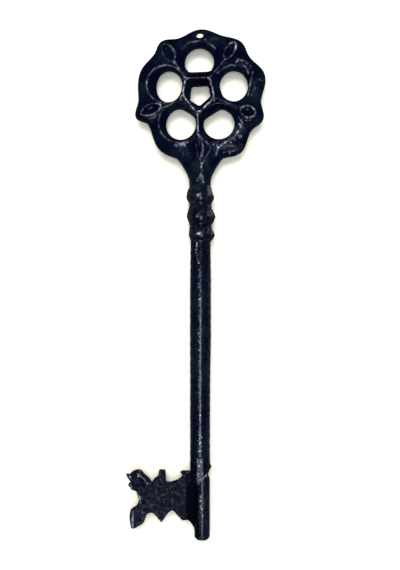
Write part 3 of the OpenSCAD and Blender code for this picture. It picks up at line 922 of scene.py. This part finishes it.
def worn_highlight_line(p, x):
    """The paint worn to specks down the middle of the front, where the key is handled; the specks also
    paint the speckled highlight down the bar.
    """
    z = p[:, 2]
    upper = eased((z - fine_from) / 12)
    width = 1.35 - 0.5 * upper
    across = np.clip(1.2 - abs(p[:, 0] - x - lookup(z, worn_highlight_offsets)) / width, 0, 1) * (p[:, 1] < 0)
    most = 1 + 1.4 * upper
    most += 3.5 * eased((bright_stretch[1] - z) / 3) * eased((z - bright_stretch[0]) / 1.5)
    most -= 0.8 * eased((dull_stretch[1] - z) / 1) * eased((z - dull_stretch[0]) / 1)
    specks = (2.4 - 0.8 * upper) * lumps(p, 1.3, 17.0) - 0.35 + 0.4 * upper
    return across * np.clip(specks, 0, 0.9 - 0.3 * upper) * most


def shank_wear_and_highlight(p):
    """A painted reflection on the right flank, a painted glint on the front edge of the slanting joint,
    worn specks on the flat that stand in for glints, and the worn line with its painted highlight.
    """
    over = p[:, 2] - joint_z - joint_slope * (p[:, 0] + joint_left)
    edge = eased((2.2 - over) / 1.4) * (p[:, 1] < -1) * eased((p[:, 0] - 0.5) / 2)
    filed = filed_share(p)
    filed *= np.clip(2.4 * lumps(p, 1.2, 16.0) - 0.3, 0, 1) * eased((2.4 - abs(p[:, 0])) / 0.6)
    flank = eased((p[:, 0] - 6.2) / 0.8)
    return np.maximum.reduce([0.02 * flank, 0.4 * edge, 0.7 * filed, 1.15 * worn_highlight_line(p, 0)])


marked(shank, "sand", shank_sand)
marked(shank, "wear_and_highlight", shank_wear_and_highlight)

# The bit: the flag with its wards and the round barrel below the joint, one iron casting.
# Its face is left rough as it came from the sand, while the lobes at its edge are smooth,
# and a spigot on it goes up into the shank.
barrel_r, barrel_x = 5.9, 1.6
tip_z = round(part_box("bit")[0][2] / MM - joint_z, 1)
flag_half = 3.2
tip_round = 3
# each corner of the flag: distance from the shank's axis, height over the joint, rounding
flag_corners = [
    (-6.9, 8.4, 0), (-13.4, 8.4, 0.3), (-15.3, 7.6, 0), (-13.3, 4.7, 0.4), (-16.8, 1.6, 1.5),
    (-22.9, -0.5, 2.5), (-26, -0.1, 0.4), (-26.5, 8.8, 0.3), (-31.3, 8.9, 0.5), (-32.3, 3.8, 0.4),
    (-34.5, 2.8, 0.4), (-37, -0.8, 0.8), (-39.3, 2.4, 1), (-42.4, 4.6, 1), (-45.4, 8.4, 2),
    (-51, 8.2, 3), (-54.6, 4.8, 0.2), (-57.6, 5.9, 0), (-53.3, -0.6, 0.6), (-55.5, -3.0, 0.6),
    (-52.2, -7.1, 1.4), (-49.1, -7.5, 1), (-46.8, -14.6, 2.4), (-48.3, -18.6, 1.6), (-53.3, -21.6, 2),
    (-54.5, -27.4, 4), (-53.2, -36.4, 2), (-50, -36.4, 1.5), (-43, -32.2, 2), (-41, -25.2, 2.2),
    (-36.3, -23.6, 2.4), (-29.4, -31.6, 0.9), (-24.2, -24, 2.5), (-21, -21.5, 2), (-13.8, -29.3, 0.8),
    (-8.6, -29.3, 2.8), (-4.7, -34.6, 2), (-4.3, -38.4, 0), (-4.3, tip_z, tip_round),
    (7.5, tip_z, tip_round), (7.5, 2.6, 0.4), (5.6, 5.2, 0.1), (5.2, 5.6, 0), (-6.9, -6.0, 0),
]
bit_outline = rounded(flag_corners)
# the slanting joint and the root against the shank stay square, and only the rest is rounded
root_x, joint_end_x, joint_width = -7.2, 5.3, 1.2
joint_line = joint_slope * (bit_outline[:, 0] + joint_left)
square_ends = (bit_outline[:, 0] > root_x) & (bit_outline[:, 1] > joint_line - joint_width)
square_ends &= bit_outline[:, 0] < joint_end_x
first = int(np.argmax(~square_ends))
order = np.roll(np.arange(len(bit_outline)), -first)
open_line = bit_outline[[k for k in order if not square_ends[k]]]
smooth_lobes = [((-47, 5), 8.5), ((-49, -28), 8.5), ((-53, -3), 3)]
# painted glints on the bit, as rubbed paint: points by height over the joint, and how much
bit_glints = [
    ([(-51.6, -25.0), (-51.7, -34.0)], 0.7), ([(-52.9, -2.2), (-52.2, -4.2)], 0.8),
    ([(-53.6, 4.6), (-52.9, 3.6)], 0.9), ([(-39.4, 0.0), (-39.9, -0.9)], 0.9),
    ([(-47.2, 5.2), (-46.6, 4.6)], 0.9), ([(-47.4, -7.7), (-45.8, -12.2), (-45.6, -16.1)], 0.4),
]
# the ridge on the upper lobe, and how far in the flag's edge is rounded, by distance from the axis
lobe_ridge = [(-49, 7.2), (-46.5, 5), (-41, 0.2), (-38, -2)]
edge_rounds = [(-100, 1.1), (-8, 1.1), (-4, 3.2)]
# the dish in the middle of the flag: its depth, its middle, and its reach across and up
dish_deep, dish_x, dish_z, dish_wide, dish_tall = 0.35, -30, -14, 11, 9
# the slope down to the barrel: its fall per mm, where it begins and how long it is
slope_fall, slope_x, slope_long = 0.26, -11.5, 7.5
# the raised upper lobe: its height, its ridge's height and half width, and where it begins
lobe_high, ridge_high, ridge_half, lobe_foot, lobe_side = 0.8, 0.2, 1.5, -3.5, -37.5
# the rib on the lower lobe: its height and half width, its middle, and how much it bows
rib_high, rib_half, rib_x, rib_z, rib_bow, rib_top = 0.3, 0.6, -51.7, -28, 0.01, -20


def bit_half(p):
    """Half thickness of the flag and the barrel at each point."""
    x, z = p[:, 0], p[:, 1]
    dish = ((x - dish_x) / dish_wide) ** 2 + ((z - dish_z) / dish_tall) ** 2
    flag = flag_half - dish_deep * np.exp(-dish)
    flag -= slope_fall * np.clip(x - slope_x, 0, slope_long) * eased((9 - z) / 3)
    off = line_distance(p, lobe_ridge)
    upper = lobe_high + ridge_high * np.clip(1 - off / ridge_half, 0, 1) - 0.02 * off
    flag += eased((z - lobe_foot) / 3) * eased((lobe_side - x) / 4) * upper
    rib = (x - rib_x + rib_bow * (z - rib_z) ** 2) / rib_half
    flag += rib_high * np.exp(-rib ** 2) * eased((rib_top - z) / 3)
    rise = np.clip((z - tip_z) / tip_round, 0, 1)
    end_r = barrel_r - tip_round * (1 - np.sqrt(1 - (1 - rise) ** 2))
    round_part = np.sqrt(np.maximum(end_r ** 2 - (x - barrel_x) ** 2, 0))
    below = z < joint_slope * (x + joint_left) + 0.4
    inset = line_distance(p, open_line)
    share = 1 - np.clip(inset / lookup(x, edge_rounds), 0, 1)
    flag *= np.sqrt(np.maximum(1 - share ** 2, 0)) * ((x < -4) | (z > -36))
    return np.where(below, np.maximum(flag * (x < 1), round_part), flag)


def smooth_share(p):
    """How smooth the face is: 1 on the barrel and the lobes, 0 on the rough field of the flag."""
    x, z = p[:, 0], p[:, 2]
    share = eased((x + 11.2 + 2.5 * lumps(p, 4.5, 9.0)) / 2)
    for (cx, cz), spread in smooth_lobes:
        share = np.maximum(share, np.exp(-(np.hypot(x - cx, z - cz) / spread) ** 4))
    return share


def bit_skin(p):
    """The skin of the casting, with the scales that the sand left on the flag."""
    rough = 1 - smooth_share(p)
    x, y, z = p.T
    slanted = np.column_stack([x * 0.8 + z * 0.6, y, (z * 0.8 - x * 0.6) * 1.7])
    scales = 0.75 * (0.3 - abs(lumps(slanted, 3.6, 6.0))) + 0.3 * (0.3 - abs(lumps(slanted, 2.0, 8.0)))
    return cast_skin(p) * 0.8 + rough * scales


bit_cuts = inset_lines(open_line[::-1], [0.03, 0.1, 0.22, 0.4, 0.65, 0.95, 1.35])
bit = casting("bit_casting", bit_outline, bit_cuts, [], [], bit_half, bit_skin, 0.6)
bit.data.transform(Matrix.Translation((0, 0, joint_z * MM)))
bit.data.materials.append(navy)
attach(bit, "root")
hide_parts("bit")
joint_place = np.array([0, 0, joint_z])


def bit_sand(p):
    """How sandy the paint looks: most on the rough field, and some on the barrel."""
    return 0.15 + 0.75 * (1 - smooth_share(p - joint_place)) + 0.42 * eased((p[:, 0] + 2.5) / 1)


def bit_painted_shade(p):
    """Painted shade: the corner between the flag and the barrel, darkened as if in shadow."""
    corner = eased((p[:, 0] + 11) / 2) * eased((-0.4 - p[:, 0]) / 1.5)
    return corner * eased((joint_z + 2 - p[:, 2]) / 4)


marked(bit, "sand", bit_sand)
marked(bit, "painted_shade", bit_painted_shade)
bit.data.materials.append(enamel("rough_enamel", specular=0.14, coat=0.02))
face_middles = np.empty(len(bit.data.polygons) * 3)
bit.data.polygons.foreach_get("center", face_middles)
rough_faces = smooth_share(face_middles.reshape(-1, 3) / MM - joint_place) < 0.5
bit.data.polygons.foreach_set("material_index", rough_faces.astype(np.int32))


def bit_wear_and_highlight(p):
    """The painted glints on the flag, and the worn line on the barrel with its painted highlight."""
    flat = p[:, [0, 2]] - np.array([0, joint_z])
    wear_and_highlight_share = np.zeros(len(p))
    for line, strength in bit_glints:
        d = line_distance(flat, line)
        wear_and_highlight_share = np.maximum(wear_and_highlight_share, strength * np.clip(1.2 - d / 0.6, 0, 1))
    return np.maximum(wear_and_highlight_share * (p[:, 1] < 0), 0.75 * worn_highlight_line(p, 1.1) * eased((joint_z - 6 - p[:, 2]) / 3))


marked(bit, "wear_and_highlight", bit_wear_and_highlight)

# The cross pins: drawn steel, driven through the joints and filed flush before painting.
# Drawing leaves fine scratches along each pin.
steel_dark, steel_light = (0.30, 0.31, 0.33, 1), (0.48, 0.48, 0.50, 1)


def drawn_steel(name):
    material, nodes, links = fresh_material(name)
    shader = nodes["Principled BSDF"]
    shader.inputs["Metallic"].default_value = 1
    where = nodes.new("ShaderNodeTexCoord")
    scratches = nodes.new("ShaderNodeTexNoise")
    scratches.inputs["Scale"].default_value = 2200
    stretch = nodes.new("ShaderNodeMapping")
    stretch.inputs["Scale"].default_value = (0.05, 1, 1)
    tone = nodes.new("ShaderNodeValToRGB")
    tone.color_ramp.elements[0].color = steel_dark
    tone.color_ramp.elements[1].color = steel_light
    gloss = nodes.new("ShaderNodeMapRange")
    gloss.inputs["To Min"].default_value = 0.28
    gloss.inputs["To Max"].default_value = 0.5
    links.new(where.outputs["Object"], stretch.inputs["Vector"])
    links.new(stretch.outputs["Vector"], scratches.inputs["Vector"])
    links.new(scratches.outputs["Fac"], tone.inputs["Fac"])
    links.new(scratches.outputs["Fac"], gloss.inputs["Value"])
    links.new(tone.outputs["Color"], shader.inputs["Base Color"])
    links.new(gloss.outputs["Result"], shader.inputs["Roughness"])
    return material


steel = drawn_steel("drawn_steel")
for node in ("bow_pin", "bit_pins"):
    pin = bpy.data.objects[node]
    pin.data.materials.clear()
    pin.data.materials.append(steel)

# The white wall that the key hangs on, and the lamps and camera in front of it. The wall lies
# just behind the backs of the collars and takes the floor's place. It is clear from behind,
# so that the back of the key can be seen too.
wall_y = 0.0113
wall_side, wall_top, wall_foot = 0.4, 0.28, -0.6
wall_colour, mirrored_colour = (1.5, 1.46, 1.22, 1), (0.08, 0.078, 0.065, 1)


def plaster(name):
    """White plaster that is dark in reflections, and clear from behind and to shadow rays."""
    material, nodes, links = fresh_material(name)
    nodes.clear()
    paint = nodes.new("ShaderNodeBsdfDiffuse")
    path = nodes.new("ShaderNodeLightPath")
    shade = nodes.new("ShaderNodeMix")
    shade.data_type = "RGBA"
    sockets = {i.identifier: i for i in shade.inputs}
    sockets["A_Color"].default_value = wall_colour
    sockets["B_Color"].default_value = mirrored_colour
    links.new(path.outputs["Is Glossy Ray"], sockets["Factor_Float"])
    links.new(next(o for o in shade.outputs if o.identifier == "Result_Color"), paint.inputs["Color"])
    side = nodes.new("ShaderNodeNewGeometry")
    either = nodes.new("ShaderNodeMath")
    either.operation = "MAXIMUM"
    links.new(side.outputs["Backfacing"], either.inputs[0])
    links.new(path.outputs["Is Shadow Ray"], either.inputs[1])
    mix = nodes.new("ShaderNodeMixShader")
    links.new(either.outputs[0], mix.inputs["Fac"])
    links.new(paint.outputs[0], mix.inputs[1])
    links.new(nodes.new("ShaderNodeBsdfTransparent").outputs[0], mix.inputs[2])
    links.new(mix.outputs[0], nodes.new("ShaderNodeOutputMaterial").inputs["Surface"])
    return material


wall_mesh = bpy.data.meshes.new("wall")
wall_mesh.from_pydata([
    (-wall_side, wall_y, wall_foot), (wall_side, wall_y, wall_foot),
    (wall_side, wall_y, wall_top), (-wall_side, wall_y, wall_top),
], [], [(0, 1, 2, 3)])
wall_mesh.materials.append(plaster("wall_white"))
wall = placed("wall", wall_mesh)
# the point that the lamps face
lit_middle = Vector((0, 0, -0.15))


def lamp(name, azimuth, elevation, distance, size, power, glossy=True, colour=(1, 1, 1)):
    """A lamp that faces the key from an azimuth and elevation in degrees."""
    a, e = math.radians(azimuth), math.radians(elevation)
    back = Vector((math.sin(a) * math.cos(e), -math.cos(a) * math.cos(e), math.sin(e)))
    light = bpy.data.lights.new(name, "AREA")
    light.shape = "RECTANGLE"
    light.size, light.size_y = size
    light.energy = power
    light.color = colour
    made = placed(name, light)
    made.location = lit_middle + back * distance
    made.rotation_mode = "QUATERNION"
    made.rotation_quaternion = back.to_track_quat("Z", "Y")
    made.visible_glossy = glossy


lamp("strip", 4, -18.5, 1.1, (0.25, 0.66), 2.45, colour=(0.84, 0.93, 1.12))
lamp("room", 0, 21, 1.5, (0.8, 0.55), 12, glossy=False)
lamp("room_below", 0, -14, 1.5, (0.8, 0.5), 1.2, glossy=False)
lamp("room_wide", 0, 12, 1.3, (3.0, 2.4), 13, glossy=False)
lamp("behind", 178, 30, 1.5, (1.2, 1.2), 16, glossy=False)
lamp("behind_window", 165, 35, 0.9, (0.12, 0.12), 1.6)

# the world is white to the camera, and nearly dark as a light
world_light = 0.012
scene = bpy.context.scene
world = scene.world or bpy.data.worlds.new("World")
scene.world = world
world.use_nodes = True
world_nodes, world_links = world.node_tree.nodes, world.node_tree.links
world_nodes.clear()
seen_by = world_nodes.new("ShaderNodeLightPath")
level = world_nodes.new("ShaderNodeMapRange")
level.inputs["To Min"].default_value = world_light
world_links.new(seen_by.outputs["Is Camera Ray"], level.inputs["Value"])
sky = world_nodes.new("ShaderNodeBackground")
sky.inputs["Color"].default_value = (1, 1, 1, 1)
world_links.new(level.outputs["Result"], sky.inputs["Strength"])
world_links.new(sky.outputs[0], world_nodes.new("ShaderNodeOutputWorld").inputs["Surface"])

# the camera sees the key as the photo does: level and square on, from a little to the right
picture = (400, 570)
hole_row = 36
metres_per_pixel = 0.000764
view_middle = Vector((0, 0, (hole_row - picture[1] / 2) * metres_per_pixel))
view_distance, view_turn, sensor_width = 0.48, math.radians(3), 36
camera_data = bpy.data.cameras.new("camera")
camera_data.sensor_width = sensor_width
camera_data.lens = sensor_width / (picture[1] * metres_per_pixel) * view_distance
camera = placed("camera", camera_data)
camera.location = view_middle + Vector((math.sin(view_turn), -math.cos(view_turn), 0)) * view_distance
camera.rotation_euler = (math.pi / 2, 0, view_turn)
scene.camera = camera
scene.view_settings.view_transform = "Standard"
